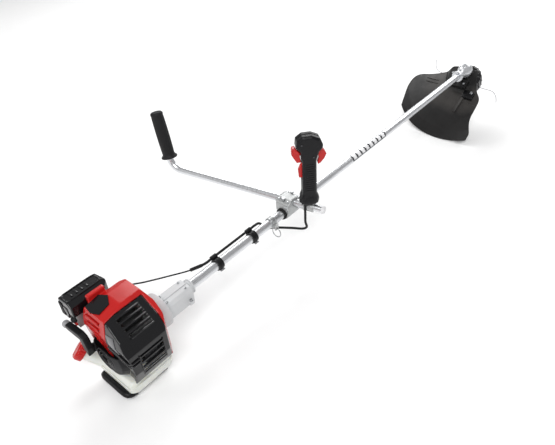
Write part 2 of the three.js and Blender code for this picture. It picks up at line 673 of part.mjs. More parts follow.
function handleControls(parent) {
  const trigger = extrudedX([
    [2, 184], [4, 195], [14, 196.5], [28, 192.5], [42, 185], [48, 172], [42, 158], [32, 146], [25, 142],
    [23, 148], [27, 164], [22, 178], [12, 184],
  ], -6, 6, 1.2);
  piece(parent, "throttle_trigger", trigger, redPlastic);
  const lockout = extrudedX([
    [-16, 152], [-8, 151], [-10, 112], [-18, 104], [-28, 106], [-30, 130], [-24, 145],
  ], -5, 5, 1);
  piece(parent, "lockout_lever", lockout, redPlastic);
  const slider = extrudedX([[-22.6, 156], [-26, 186.5], [-38.2, 202.5], [-46, 200], [-45, 176], [-34, 156]],
    -9, 9, 1.5);
  piece(parent, "stop_switch", join(slider, block([-3, -32, 175], [3, -17, 184])), redPlastic);
}

function controlHandle(parent) {
  const group = new THREE.Group();
  group.position.copy(handleFoot());
  group.rotation.z = -handleYaw;
  parent.add(group);
  handleClamp(group);
  handleShells(group);
  handleControls(group);
}

// ---- Gearcase, line head and guard. In the head's own group -Z points down its spin axis. ----

const pinionReach = 11.5;         // pinion's large end, behind the crossing point
const pinionRadius = 10;
const gearRadius = 15;            // so the head turns once for every one and a half turns of the shaft

function gearcase(parent) {
  const socket = rod([0, 1458, 0], [0, gearY, 0], 19, 20);
  const flange = rod([0, 1458, 0], [0, 1468, 0], 22, 20);
  const knuckle = new THREE.SphereGeometry(28, 18, 10).translate(0, gearY, 0);
  const front = rod([0, gearY, 8], [0, gearY + 34, 8], 9, 14);
  const down = new THREE.Vector3(0, Math.sin(headTilt), -Math.cos(headTilt));
  const at = (distance) => [0, gearY + down.y * distance, down.z * distance];
  const nose = rod(at(0), at(25), 21, 20);
  const top = rod(at(-31), at(0), 12, 12);
  const tubeHole = rod([0, 1440, 0], [0, tubeEnd + gap, 0], tubeRadius + gap, 24);
  const pinionHole = rod([0, 1495, 0], [0, gearY - 3, 0], pinionRadius + 1.4, 16);
  const gearHole = rod(at(-3), at(40), gearRadius + 2, 18);
  const body = join(socket, flange, knuckle, front, nose, top);
  piece(parent, "gearcase", cut(body, tubeHole, pinionHole, gearHole), castMetal);
}

function gears(parent, head) {
  const small = 0.55;
  piece(parent, "pinion_gear", turned([
    [shaftRadius + gap, -pinionReach - 4], [pinionRadius, -pinionReach - 3],
    [pinionRadius, -pinionReach - 0.4], [pinionRadius * small, -pinionReach * small - 0.4],
    [shaftRadius + gap, -pinionReach * small - 0.4],
  ], 16), steel, [0, gearY, 0]);
  const gearSlope = 2.9 / gearRadius;
  piece(head, "output_gear", turnedZ([
    [0, -3.2], [gearRadius * small, -gearRadius * small * gearSlope - 0.6], [gearRadius, -2.9 - 0.6],
    [gearRadius, -9], [6, -10], [6, -88], [0, -88],
  ], 18), steel);
}

function lineHead(head) {
  const shell = turnedZ([
    [6 + gap, -28], [34, -28], [54, -34], [62, -42], [62, -86], [59, -88], [59, -45], [51, -38],
    [6 + gap, -36],
  ], 26);
  const eyelets = [-1, 1].map((side) => rod([side * 54, side * -8, -75], [side * 66, side * -8, -75], 4, 8));
  piece(head, "line_head_housing", cut(shell, ...eyelets), blackPlastic);
  piece(head, "line_spool", turnedZ([
    [6 + gap, -42], [47, -42], [47, -45], [24, -47], [24, -82], [47, -84], [47, -88], [6 + gap, -88],
  ], 20), nylon);
  piece(head, "bump_knob", turnedZ([
    [0, -92], [52, -92], [54, -96], [34, -101], [32, -112], [24, -118], [0, -119],
  ], 20), blackPlastic);
  const ends = [
    [[-51, 8, -75], [-70, 8, -75], [-95, 11, -75], [-118, 13, -75], [-140, 18, -75], [-157, 34, -75],
      [-168, 54, -75], [-174, 70, -75]],
    [[51, -8, -75], [70, -9, -75], [92, -10, -75], [112, -10, -75], [130, -18, -75], [146, -36, -75],
      [155, -56, -75]],
  ];
  for (const [index, points] of ends.entries()) {
    piece(head, `trimmer_line_${index + 1}`, sweep(smoothRoute(points, 10), 1.3, 8), nylon);
  }
}

// The guard: a dish about the spin axis, trimmed to its outline, with a block under the gearcase.
function guard(head) {
  const thickness = 3;
  const drop = [
    [23, 22], [66, 24], [80, 42], [120, 52], [190, 66], [240, 78], [266, 87], [guardRadius, guardDrop],
  ];
  const upper = drop.map(([radius, depth]) => [radius, -depth + thickness]);
  const lower = drop.map(([radius, depth]) => [radius, -depth]).reverse();
  const dish = turnedZ([...upper, ...lower], 56);
  const plan = outline([
    [40, 25], [-49, 24], [-73, 5], [-100, -7], [-148, -20], [-188, -26], [-210, -36], [-222, -56],
    [-225, -93], [-217, -141], [-208, -192], [-170, -290], [110, -290], [121, -240], [120, -222],
    [105, -190], [98, -160], [98, -95], [90, -72], [68, -45],
  ]);
  const saddle = block([-34, -72, -27], [34, -34, -10]);
  const trimmed = common(dish, extruded(plan, 120, 0).translate(0, 0, -110));
  piece(head, "guard", join(trimmed, saddle), guardBlack);
  const blade = block([-22, -16, -16], [2, -13, 6]).translate(104, -232, -guardDrop);
  piece(head, "line_cutter", cut(blade, dish.clone().translate(0, 0, -gap), dish), steel);
}

// ---- Assembly ----

const trimmer = new THREE.Group();
trimmer.rotation.x = noseUp;
trimmer.position.set(0, standY, -standDrop).applyEuler(trimmer.rotation).negate();

const head = new THREE.Group();
head.position.set(0, gearY, 0);
head.rotation.x = headTilt;
trimmer.add(head);

driveTube(trimmer);
shaftLiner(trimmer);
clutchHousing(trimmer);
clutch(trimmer);
crankTrain(trimmer);
crankcase(trimmer);
cylinder(trimmer);
cowl(trimmer);
muffler(trimmer);
starter(trimmer);
fuelTank(trimmer);
tankStand(trimmer);
carburetor(trimmer);
airFilter(trimmer);
cableClips(trimmer);
hanger(trimmer);
throttleCable(trimmer);
handlebar(trimmer);
bracket(trimmer);
leftGrip(trimmer);
controlHandle(trimmer);
gearcase(trimmer);
gears(trimmer, head);
lineHead(head);
guard(head);

const model = new THREE.Group();
model.add(trimmer);

export default model;
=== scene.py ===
# A petrol string trimmer on a pale studio floor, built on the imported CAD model.
# Sizes are millimetres in the machine's own frame: the origin is the clutch housing's mouth,
# Y runs along the drive tube to the line head, X is the operator's right. Objects are in metres.

import json
import math

import bmesh
import bpy
from mathutils import Matrix, Vector


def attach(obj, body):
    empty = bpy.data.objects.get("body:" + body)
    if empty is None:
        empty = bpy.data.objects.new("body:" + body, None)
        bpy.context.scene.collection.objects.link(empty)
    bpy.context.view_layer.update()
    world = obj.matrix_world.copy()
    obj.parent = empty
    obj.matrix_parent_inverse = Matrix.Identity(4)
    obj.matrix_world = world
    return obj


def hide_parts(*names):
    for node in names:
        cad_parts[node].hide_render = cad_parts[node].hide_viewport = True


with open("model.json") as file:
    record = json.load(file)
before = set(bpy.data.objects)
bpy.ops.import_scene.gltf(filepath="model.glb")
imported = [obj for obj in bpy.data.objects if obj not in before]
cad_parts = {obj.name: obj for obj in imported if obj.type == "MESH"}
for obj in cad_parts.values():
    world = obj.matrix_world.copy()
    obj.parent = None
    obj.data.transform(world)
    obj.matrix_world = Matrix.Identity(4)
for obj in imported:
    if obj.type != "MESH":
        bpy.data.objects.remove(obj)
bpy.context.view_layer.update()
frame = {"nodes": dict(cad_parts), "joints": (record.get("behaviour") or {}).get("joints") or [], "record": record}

MM = 0.001
JOINTS = {joint["name"]: joint for joint in frame["joints"]}
NODES = frame["nodes"]


# ---- Frames ----

def frame_from(origin, x_axis, z_axis):
    """A frame in metres with the given X and Z directions, that takes millimetres."""
    x_axis = Vector(x_axis).normalized()
    z_axis = Vector(z_axis).normalized()
    basis = Matrix((x_axis, z_axis.cross(x_axis), z_axis)).transposed().to_4x4()
    return Matrix.Translation(Vector(origin)) @ basis


TUBE_AXIS = Vector(JOINTS["driveline_spin"]["axis"])
MOUTH = Vector(JOINTS["driveline_spin"]["pos_m"])
RIGHT = Vector((1, 0, 0))
MACHINE = frame_from(MOUTH, RIGHT, RIGHT.cross(TUBE_AXIS))
HEAD = frame_from(JOINTS["head_spin"]["pos_m"], RIGHT, -Vector(JOINTS["head_spin"]["axis"]))
TRIGGER_PIVOT = Vector((0, 8, 190))
HANDLE_AXES = frame_from(Vector(), -Vector(JOINTS["trigger_squeeze"]["axis"]), RIGHT.cross(TUBE_AXIS))
HANDLE = Matrix.Translation(
    Vector(JOINTS["trigger_squeeze"]["pos_m"]) - HANDLE_AXES @ (TRIGGER_PIVOT * MM)) @ HANDLE_AXES
CAP_AXIS = Vector(JOINTS["fuel_cap_turn"]["axis"])
CAP = frame_from(JOINTS["fuel_cap_turn"]["pos_m"], CAP_AXIS.orthogonal(), CAP_AXIS)

TUBE_RADIUS = 13
BAR_RADIUS = 11
BAR_MIDDLE = Vector((0, 389, 32))          # the handlebar's axis at the bracket
BAR_REACH = 108                            # from there to the bar's right end
LEFT_CORNER = Vector((-372, 281, 54.5))    # where the bar turns up into the left grip
BAR_DIRECTION = (BAR_MIDDLE - LEFT_CORNER).normalized()
GRIP_AXIS = Vector((-0.25, 0.06, 1)).normalized()
CLIP_PLACES = (98, 232)                    # the two cable clips, along the tube
CABLE_SIDE = (-14, 16.2)                   # the cable beside the tube, in X and Z
HANGER_Y = 312
GEAR_Y = 1530                              # where the head's spin axis crosses the tube's axis
ROPE_HOLE = Vector((-119, -275.5, 17.5))   # where the starter rope leaves its guide arm
LINE_LEVEL = -75                           # where the lines leave the head, along its spin axis

ALONG_TUBE = (0, 1, 0)
UP = (0, 0, 1)


def in_machine(origin, z_axis):
    """A frame placed in the machine's frame, with its Z along the given direction."""
    z_axis = Vector(z_axis).normalized()
    x_axis = Vector((0, 1, 0)).cross(z_axis)
    if x_axis.length < 0.1:
        x_axis = RIGHT.copy()
    x_axis = (x_axis - z_axis * x_axis.dot(z_axis)).normalized()
    return MACHINE @ frame_from(Vector(origin) * MM, x_axis, z_axis)


# ---- Camera, lights and floor ----

CAMERA_AZIMUTH = math.radians(42.45)
CAMERA_ELEVATION = math.radians(39.55)
CAMERA_ROLL = math.radians(-3.49)
CAMERA_PLACE = Vector((833.6, -572.9, 1001.2))
CAMERA_LENS = 35.92


def add_camera():
    level = math.cos(CAMERA_ELEVATION)
    forward = Vector((-math.sin(CAMERA_AZIMUTH) * level, math.cos(CAMERA_AZIMUTH) * level,
                      -math.sin(CAMERA_ELEVATION)))
    level_right = forward.cross(Vector((0, 0, 1))).normalized()
    level_up = level_right.cross(forward)
    right = math.cos(CAMERA_ROLL) * level_right + math.sin(CAMERA_ROLL) * level_up
    up = math.cos(CAMERA_ROLL) * level_up - math.sin(CAMERA_ROLL) * level_right
    basis = Matrix((right, up, -forward)).transposed().to_4x4()
    data = bpy.data.cameras.new("camera")
    data.sensor_width = 36
    data.lens = CAMERA_LENS
    data.clip_start = 0.05
    camera = bpy.data.objects.new("camera", data)
    camera.matrix_world = MACHINE @ Matrix.Translation(CAMERA_PLACE * MM) @ basis
    bpy.context.scene.collection.objects.link(camera)
    bpy.context.scene.camera = camera


def add_area_light(name, place, target, size, power):
    """A rectangular soft light; the second size runs along the machine where the light allows it."""
    data = bpy.data.lights.new(name, "AREA")
    data.shape = "RECTANGLE"
    data.size, data.size_y = size
    data.energy = power
    light = bpy.data.objects.new(name, data)
    back = (Vector(place) - Vector(target)).normalized()
    side = TUBE_AXIS.cross(back).normalized()
    basis = Matrix((side, back.cross(side), back)).transposed().to_4x4()
    light.matrix_world = Matrix.Translation(Vector(place)) @ basis
    bpy.context.scene.collection.objects.link(light)


def add_lights():
    middle = (0, 0.8, 0.1)
    add_area_light("key_light", (1.6, -1.6, 3.2), middle, (2.0, 2.0), 100)
    add_area_light("left_light", (-2.3, 2.6, 2.4), (0, 2.2, 0.1), (1.1, 3.2), 66)
    add_area_light("back_light", (-0.5, 4.4, 2.0), (0, 1.2, 0.1), (2.4, 1.4), 46)
    add_area_light("rear_light", (-2.0, -2.0, 1.4), middle, (1.2, 1.2), 16)


def add_world():
    world = bpy.data.worlds.new("studio")
    world.use_nodes = True
    background = world.node_tree.nodes["Background"]
    background.inputs["Color"].default_value = (1, 1, 1, 1)
    background.inputs["Strength"].default_value = 0.42
    bpy.context.scene.world = world
    bpy.context.scene.view_settings.view_transform = "Standard"


def add_floor():
    """A wide pale floor, half a millimetre below the foot so that no two faces coincide."""
    mesh = bpy.data.meshes.new("floor")
    reach = 30
    mesh.from_pydata([(-reach, -reach, 0), (reach, -reach, 0), (reach, reach, 0), (-reach, reach, 0)],
                     [], [(0, 1, 2, 3)])
    floor = bpy.data.objects.new("floor", mesh)
    floor.location.z = -0.0005
    paint = painted("floor_paint", (0.93, 0.93, 0.93), roughness=0.8, grain=6, bump=0.0, spread=0.004)
    mesh.materials.append(paint)
    bpy.context.scene.collection.objects.link(floor)


# ---- Materials ----

def new_material(name):
    material = bpy.data.materials.new(name)
    material.use_nodes = True
    tree = material.node_tree
    shader = tree.nodes["Principled BSDF"]
    place = tree.nodes.new("ShaderNodeTexCoord")
    return material, tree, shader, place.outputs["Object"]


def add_noise(tree, place, scale, detail=4.0, stretch=(1, 1, 1)):
    mapping = tree.nodes.new("ShaderNodeMapping")
    mapping.inputs["Scale"].default_value = stretch
    noise = tree.nodes.new("ShaderNodeTexNoise")
    noise.inputs["Scale"].default_value = scale
    noise.inputs["Detail"].default_value = detail
    tree.links.new(place, mapping.inputs["Vector"])
    tree.links.new(mapping.outputs["Vector"], noise.inputs["Vector"])
    return noise.outputs["Fac"]


def add_range(tree, value, low, high):
    span = tree.nodes.new("ShaderNodeMapRange")
    span.inputs["From Min"].default_value = 0.3
    span.inputs["From Max"].default_value = 0.7
    span.inputs["To Min"].default_value = low
    span.inputs["To Max"].default_value = high
    tree.links.new(value, span.inputs["Value"])
    return span.outputs["Result"]


def add_ramp(tree, value, dark, light):
    ramp = tree.nodes.new("ShaderNodeValToRGB")
    ramp.color_ramp.elements[0].position = 0.3
    ramp.color_ramp.elements[0].color = (*dark, 1)
    ramp.color_ramp.elements[1].position = 0.7
    ramp.color_ramp.elements[1].color = (*light, 1)
    tree.links.new(value, ramp.inputs["Fac"])
    return ramp.outputs["Color"]


def add_bump(tree, shader, value, strength, distance=0.0004):
    bump = tree.nodes.new("ShaderNodeBump")
    bump.inputs["Strength"].default_value = strength
    bump.inputs["Distance"].default_value = distance
    tree.links.new(value, bump.inputs["Height"])
    tree.links.new(bump.outputs["Normal"], shader.inputs["Normal"])


def shade(colour, factor):
    return tuple(min(1.0, channel * factor) for channel in colour)


def tint(tree, shader, value, colour, darkest, lightest):
    """The colour, darker where the value is low and lighter where it is high."""
    ramp = add_ramp(tree, value, shade(colour, darkest), shade(colour, lightest))
    tree.links.new(ramp, shader.inputs["Base Color"])


def roughen(tree, shader, value, low, high):
    tree.links.new(add_range(tree, value, low, high), shader.inputs["Roughness"])


def painted(name, colour, roughness, grain, bump, spread=0.08, coat=0.0, specular=0.5):
    """Colour and roughness that drift a little over the surface, with a fine grain in the bump."""
    material, tree, shader, place = new_material(name)
    drift = add_noise(tree, place, 18)
    tint(tree, shader, drift, colour, 1 - spread, 1 + spread)
    roughen(tree, shader, drift, roughness * 0.85, roughness * 1.15)
    shader.inputs["Specular IOR Level"].default_value = specular
    shader.inputs["Coat Weight"].default_value = coat
    shader.inputs["Coat Roughness"].default_value = 0.08
    if bump > 0:
        add_bump(tree, shader, add_noise(tree, place, grain, detail=6.0), bump)
    return material


def drawn_metal(name, colour, roughness, stretch):
    """Metal drawn or turned, with fine lines across the short direction of the stretch."""
    material, tree, shader, place = new_material(name)
    lines = add_noise(tree, place, 60, detail=8.0, stretch=stretch)
    tint(tree, shader, lines, colour, 0.9, 1.06)
    roughen(tree, shader, lines, roughness * 0.8, roughness * 1.2)
    shader.inputs["Metallic"].default_value = 1.0
    add_bump(tree, shader, lines, 0.12, 0.0002)
    return material


def cast_metal(name, colour, roughness):
    """Die casting: fine pits and faint cloudy patches."""
    material, tree, shader, place = new_material(name)
    clouds = add_noise(tree, place, 30)
    tint(tree, shader, clouds, colour, 0.88, 1.08)
    roughen(tree, shader, clouds, roughness * 0.8, roughness * 1.15)
    shader.inputs["Metallic"].default_value = 0.7
    add_bump(tree, shader, add_noise(tree, place, 900, detail=6.0), 0.35)
    return material


def guard_plastic_painted_light(name, centre):
    """Guard moulding: black near the head and darker out on the skirt, with painted light between: a lighter
    brown-grey band where light falls on the dish bend.
    """
    material, tree, shader, place = new_material(name)
    offset = tree.nodes.new("ShaderNodeVectorMath")
    offset.operation = "DISTANCE"
    offset.inputs[1].default_value = centre
    tree.links.new(place, offset.inputs[0])
    drift = add_noise(tree, place, 22)
    wavy = tree.nodes.new("ShaderNodeMath")
    wavy.operation = "MULTIPLY_ADD"
    wavy.inputs[1].default_value = 0.05
    tree.links.new(drift, wavy.inputs[0])
    tree.links.new(offset.outputs["Value"], wavy.inputs[2])
    ramp = tree.nodes.new("ShaderNodeValToRGB")
    # The lighter middle stops are painted light on the dish bend, not the moulding's own colour.
    painted_light_stops = (    # metres from the centre, and the colour there
        (0.1, (0.008, 0.008, 0.008)),
        (0.125, (0.038, 0.035, 0.033)),
        (0.17, (0.036, 0.033, 0.031)),
        (0.215, (0.007, 0.0065, 0.0065)),
    )
    for stop in painted_light_stops[2:]:
        ramp.color_ramp.elements.new(stop[0])
    for element, (position, colour) in zip(ramp.color_ramp.elements, painted_light_stops):
        element.position = position
        element.color = (*colour, 1)
    tree.links.new(wavy.outputs["Value"], ramp.inputs["Fac"])
    tree.links.new(ramp.outputs["Color"], shader.inputs["Base Color"])
    roughen(tree, shader, drift, 0.36, 0.5)
    shader.inputs["Specular IOR Level"].default_value = 0.28
    add_bump(tree, shader, add_noise(tree, place, 1100, detail=6.0), 0.3)
    return material


def milky_plastic(name, colour):
    """Blow-moulded tank plastic that lets some light through."""
    material, tree, shader, place = new_material(name)
    drift = add_noise(tree, place, 14)
    tint(tree, shader, drift, colour, 0.93, 1.03)
    roughen(tree, shader, drift, 0.28, 0.42)
    shader.inputs["Subsurface Weight"].default_value = 0.5
    shader.inputs["Subsurface Radius"].default_value = (0.012, 0.011, 0.009)
    shader.inputs["Transmission Weight"].default_value = 0.12
    add_bump(tree, shader, add_noise(tree, place, 260), 0.08)
    return material


def open_foam(name, colour):
    """Filter foam: open cells from a Voronoi pattern."""
    material, tree, shader, place = new_material(name)
    cells = tree.nodes.new("ShaderNodeTexVoronoi")
    cells.inputs["Scale"].default_value = 700
    tree.links.new(place, cells.inputs["Vector"])
    tint(tree, shader, cells.outputs["Distance"], colour, 0.5, 1.2)
    shader.inputs["Roughness"].default_value = 0.95
    add_bump(tree, shader, cells.outputs["Distance"], 0.8)
    return material


def make_materials():
    """Every look by name. After a painted look's name and colour come its roughness, grain and bump."""
    return {
        "tube_metal": drawn_metal("tube_aluminium", (0.72, 0.73, 0.75), 0.3, (8, 0.4, 8)),
        "cast_metal": cast_metal("cast_aluminium", (0.46, 0.47, 0.47), 0.48),
        "bright_cast": cast_metal("polished_casting", (0.62, 0.63, 0.65), 0.28),
        "near_black_cast": cast_metal("near_black_cylinder_casting", (0.05, 0.05, 0.05), 0.6),
        "grey_paint": painted("grey_casting_paint", (0.56, 0.57, 0.58), 0.5, 700, 0.15),
        "steel": drawn_metal("turned_steel", (0.4, 0.41, 0.42), 0.34, (3, 3, 3)),
        "dark_steel": drawn_metal("blackened_steel", (0.08, 0.08, 0.085), 0.35, (3, 3, 3)),
        "black_plastic": painted("black_moulding", (0.006, 0.006, 0.007), 0.42, 1500, 0.25, specular=0.22),
        "gloss_black": painted("gloss_black_moulding", (0.004, 0.004, 0.005), 0.16, 500, 0.03, specular=0.45),
        # A grey that stands for a painted reflection on the black cover's rear facet.
        "facet_grey": painted("painted_reflection_grey_facet", (0.1, 0.1, 0.105), 0.18, 500, 0.03, coat=0.3),
        # Both guard looks carry a painted lighter band of light on the dish bend.
        "guard_black": guard_plastic_painted_light("guard_moulding_painted_light", HEAD.translation),
        "guard_trim": guard_plastic_painted_light("guard_trim_moulding_painted_light", (0, 0, 0)),
        "red_plastic": painted("red_moulding", (0.46, 0.01, 0.009), 0.24, 500, 0.04, coat=0.15, specular=0.3),
        "milk_plastic": milky_plastic("milky_tank", (0.82, 0.83, 0.78)),
        "black_rubber": painted("black_rubber", (0.009, 0.009, 0.01), 0.6, 1300, 0.35, specular=0.25),
        "nylon": painted("clear_nylon", (0.72, 0.71, 0.66), 0.3, 400, 0.05),
        "line_nylon": painted("grey_line", (0.3, 0.3, 0.33), 0.3, 400, 0.05),
        "foam": open_foam("filter_foam", (0.06, 0.06, 0.06)),
        "white_ink": painted("label_white", (0.82, 0.82, 0.83), 0.35, 900, 0.05),
        "grey_plastic": painted("grey_moulding", (0.28, 0.28, 0.29), 0.4, 900, 0.15),
        "light_plastic": painted("light_grey_plug", (0.7, 0.7, 0.71), 0.4, 600, 0.1),
    }


MATERIALS = make_materials()


# ---- Mesh building ----

def make_piece(name, mesh, look, body, place=MACHINE, replaces=(), smooth=35):
    """An object from a mesh in millimetres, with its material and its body."""
    mesh.transform(Matrix.Scale(MM, 4))
    mesh.materials.append(MATERIALS[look])
    piece = bpy.data.objects.new(name, mesh)
    piece.matrix_world = place
    bpy.context.scene.collection.objects.link(piece)
    if smooth:
        mesh.shade_smooth()
        mesh.set_sharp_from_angle(angle=math.radians(smooth))
    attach(piece, body)
    if replaces:
        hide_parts(*replaces)


def mesh_of(vertices, faces):
    """A closed mesh with its faces turned outwards."""
    mesh = bpy.data.meshes.new("mesh")
    mesh.from_pydata([tuple(vertex) for vertex in vertices], [], faces)
    fixer = bmesh.new()
    fixer.from_mesh(mesh)
    bmesh.ops.remove_doubles(fixer, verts=fixer.verts, dist=1e-4)
    bmesh.ops.recalc_face_normals(fixer, faces=fixer.faces)
    fixer.to_mesh(mesh)
    fixer.free()
    return mesh


def merged(meshes):
    """Several meshes as one."""
    joined = bmesh.new()
    for mesh in meshes:
        joined.from_mesh(mesh)
    result = bpy.data.meshes.new("merged")
    joined.to_mesh(result)
    joined.free()
    return result


def moved(mesh, matrix):
    mesh.transform(matrix)
    return mesh


def lathe(profile, steps=64, shape=None):
    """A profile of (radius, z) turned about Z. shape(angle, z) can scale the radius."""
    vertices, faces = [], []
    for step in range(steps):
        angle = math.tau * step / steps
        for radius, z in profile:
            r = radius * (shape(angle, z) if shape else 1)
            vertices.append((r * math.cos(angle), r * math.sin(angle), z))
    count = len(profile)
    for step in range(steps):
        here, following = step * count, (step + 1) % steps * count
        for i in range(count - 1):
            faces.append((here + i, following + i, following + i + 1, here + i + 1))
    return mesh_of(vertices, faces)


def rounded_rim(profile, reach=1.0):
    """The profile with each inner corner cut back twice, as a small round."""
    points = [Vector(point) for point in profile]
    result = [points[0]]
    for before, corner, after in zip(points, points[1:], points[2:]):
        back = min(reach, (before - corner).length * 0.4)
        on = min(reach, (after - corner).length * 0.4)
        start = corner + (before - corner).normalized() * back
        end = corner + (after - corner).normalized() * on
        result += [start, (start + end) / 4 + corner / 2, end]
    result.append(points[-1])
    return [tuple(point) for point in result]


def prism(points, z0, z1):
    """An outline of (x, y) points from z0 to z1."""
    count = len(points)
    vertices = [(x, y, z) for z in (z0, z1) for x, y in points]
    faces = [tuple(range(count)), tuple(range(count, 2 * count))]
    faces += [(i, (i + 1) % count, (i + 1) % count + count, i + count) for i in range(count)]
    return mesh_of(vertices, faces)


def bar_block(x0, y0, z0, x1, y1, z1, edge=0.8):
    """A block with bevelled edges."""
    return bevelled(prism([(x0, y0), (x1, y0), (x1, y1), (x0, y1)], z0, z1), edge)


def bevelled(mesh, width, segments=2, angle=25):
    work = bmesh.new()
    work.from_mesh(mesh)
    edges = [edge for edge in work.edges
             if edge.is_manifold and edge.calc_face_angle(0) > math.radians(angle)]
    bmesh.ops.bevel(work, geom=edges, offset=width, segments=segments, profile=0.5, affect="EDGES",
                    clamp_overlap=True)
    work.to_mesh(mesh)
    work.free()
    return mesh


def tube_along(points, radius, sides=20, closed_ends=True, shape=None):
    """A round section carried along points without twisting. shape(i) can scale the radius."""
    points = [Vector(point) for point in points]
    tangent = (points[1] - points[0]).normalized()
    across = tangent.orthogonal().normalized()
    vertices, faces = [], []
    for i, point in enumerate(points):
        ahead = points[min(i + 1, len(points) - 1)]
        behind = points[max(i - 1, 0)]
        turn = tangent.rotation_difference((ahead - behind).normalized())
        tangent = (ahead - behind).normalized()
        across = (turn @ across).normalized()
        other = tangent.cross(across)
        r = radius * (shape(i) if shape else 1)
        for side in range(sides):
            angle = math.tau * side / sides
            vertices.append(point + across * (r * math.cos(angle)) + other * (r * math.sin(angle)))
    for i in range(len(points) - 1):
        here, following = i * sides, (i + 1) * sides
        for side in range(sides):
            after = (side + 1) % sides
            faces.append((here + side, here + after, following + after, following + side))
    if closed_ends:
        last = (len(points) - 1) * sides
        faces += [tuple(range(sides)), tuple(range(last, last + sides))]
    return mesh_of(vertices, faces)


def smooth_path(points, spacing):
    """A Catmull-Rom curve through the points, about evenly spaced."""
    points = [Vector(point) for point in points]
    padded = [points[0] * 2 - points[1], *points, points[-1] * 2 - points[-2]]
    path = []
    for a, b, c, d in zip(padded, padded[1:], padded[2:], padded[3:]):
        steps = max(2, round((c - b).length / spacing))
        for step in range(steps):
            t = step / steps
            path.append(0.5 * ((2 * b) + (c - a) * t + (2 * a - 5 * b + 4 * c - d) * t ** 2
                               + (3 * b - a - 3 * c + d) * t ** 3))
    return path + [points[-1]]


def rounded_corner(start, corner, end, steps):
    """A smooth bend from start to end that rounds the corner between them."""
    return [(1 - t) ** 2 * start + 2 * t * (1 - t) * corner + t * t * end
            for t in (step / steps for step in range(steps + 1))]


def hex_bolt(radius, height, washer=1.4):
    """A flanged hexagon head that stands on z = 0."""
    angles = [i * math.tau / 6 for i in range(6)]
    hexagon = [(radius * math.cos(angle), radius * math.sin(angle)) for angle in angles]
    head = bevelled(prism(hexagon, washer, height), 0.5)
    edge = radius * 1.25
    flange = lathe(rounded_rim([(0, 0), (edge, 0), (edge, washer), (0, washer)], 0.4), 32)
    return merged([head, flange])


def socket_screw(radius, height):
    """A round screw head with a round socket, that stands on z = 0."""
    floor, mouth = height * 0.45, radius * 0.5
    profile = [(0, floor), (mouth, floor), (mouth, height), (radius, height), (radius, 0), (0, 0)]
    return lathe(rounded_rim(profile, 0.35), 24)


# ---- Finishes and rounded edges on the CAD nodes ----

ROUNDING = {    # edge radius in millimetres
    "badge_panel": 0.6, "choke_lever": 0.6, "hanger_clamp": 0.6, "cable_clip_1": 0.7, "cable_clip_2": 0.7,
    "handle_clamp": 0.8, "crankcase": 1.5, "cylinder": 0.4, "muffler": 1.5, "line_cutter": 0.3,
    "carb_throttle_lever": 0.3, "primer_bulb": 0.3,
}
SOFTENED = {    # voxel size in millimetres and smoothing passes
    "engine_shroud": (1.3, 16), "muffler_cover": (1.3, 14), "air_filter_cover": (1.2, 24),
    "fuel_tank": (1.3, 60), "tank_stand": (1.2, 6), "starter_housing": (1.1, 8), "clutch_housing": (1.2, 8),
    "carburetor": (0.9, 4), "bracket_base": (0.9, 10), "bracket_cap": (0.9, 10),
    "handle_shell_left": (1.0, 22), "handle_shell_right": (1.0, 22), "throttle_trigger": (0.6, 12),
    "lockout_lever": (0.6, 12), "stop_switch": (0.7, 10),
}
# The cylinder gets a near-black casting.
SPECIAL_LOOKS = {"clutch_housing": "grey_paint", "muffler": "dark_steel", "cylinder": "near_black_cast"}


def round_edges(node, width):
    """Flat triangles are merged, then edges get a moulded radius."""
    flat = node.modifiers.new("merge_flat", "DECIMATE")
    flat.decimate_type = "DISSOLVE"
    flat.angle_limit = math.radians(1.0)
    bevel = node.modifiers.new("moulded_edge", "BEVEL")
    bevel.width = width * MM
    bevel.segments = 3
    bevel.limit_method = "ANGLE"
    bevel.angle_limit = math.radians(22)
    bevel.use_clamp_overlap = True
    smooth = node.modifiers.new("smooth_by_normal", "WEIGHTED_NORMAL")
    smooth.keep_sharp = True


def soften(node, voxel, passes):
    """Moulded or cast corners: the mesh is rebuilt evenly and its edges are relaxed."""
    remesh = node.modifiers.new("even_mesh", "REMESH")
    remesh.mode = "VOXEL"
    remesh.voxel_size = voxel * MM
    remesh.use_smooth_shade = True
    relax = node.modifiers.new("relaxed_edges", "SMOOTH")
    relax.factor = 0.5
    relax.iterations = passes


def finish_nodes():
    """Every CAD node gets the look of its record slot, or a special one, and its edges."""
    slots = {part["node"]: part["material_slot"] for part in frame["record"]["subparts"]}
    for name, node in NODES.items():
        node.data.materials.clear()
        node.data.materials.append(MATERIALS[SPECIAL_LOOKS.get(name, slots[name])])
        for polygon in node.data.polygons:
            polygon.material_index = 0
        node.data.shade_smooth()
        node.data.set_sharp_from_angle(angle=math.radians(32))
        if name in ROUNDING:
            round_edges(node, ROUNDING[name])
        if name in SOFTENED:
            soften(node, *SOFTENED[name])


add_camera()
add_lights()
add_world()
add_floor()
finish_nodes()


# ---- Handlebar and left grip ----

def bent_bar():
    bend_reach = 34
    grip_side = LEFT_CORNER + GRIP_AXIS * bend_reach
    bar_side = LEFT_CORNER + BAR_DIRECTION * bend_reach
    bend = rounded_corner(grip_side, LEFT_CORNER, bar_side, 14)
    top = LEFT_CORNER + GRIP_AXIS * 150
    end = BAR_MIDDLE + BAR_DIRECTION * BAR_REACH
    straight = [bend[-1].lerp(end, i / 6) for i in range(1, 7)]
    path = [top, top.lerp(bend[0], 0.5), *bend, *straight]
    make_piece("bent_handlebar", tube_along(path, BAR_RADIUS, 40), "tube_metal", "frame",
               replaces=["handlebar"], smooth=40)


def bar_end_plug():
    lip = BAR_RADIUS + 0.7
    plug = lathe(rounded_rim([(0, -4), (lip, -4), (lip, 3), (BAR_RADIUS - 1, 6), (0, 6.4)], 1.2), 40)
    place = in_machine(BAR_MIDDLE + BAR_DIRECTION * (BAR_REACH - 0.4), BAR_DIRECTION)
    make_piece("bar_end_plug", plug, "light_plastic", "frame", place=place)


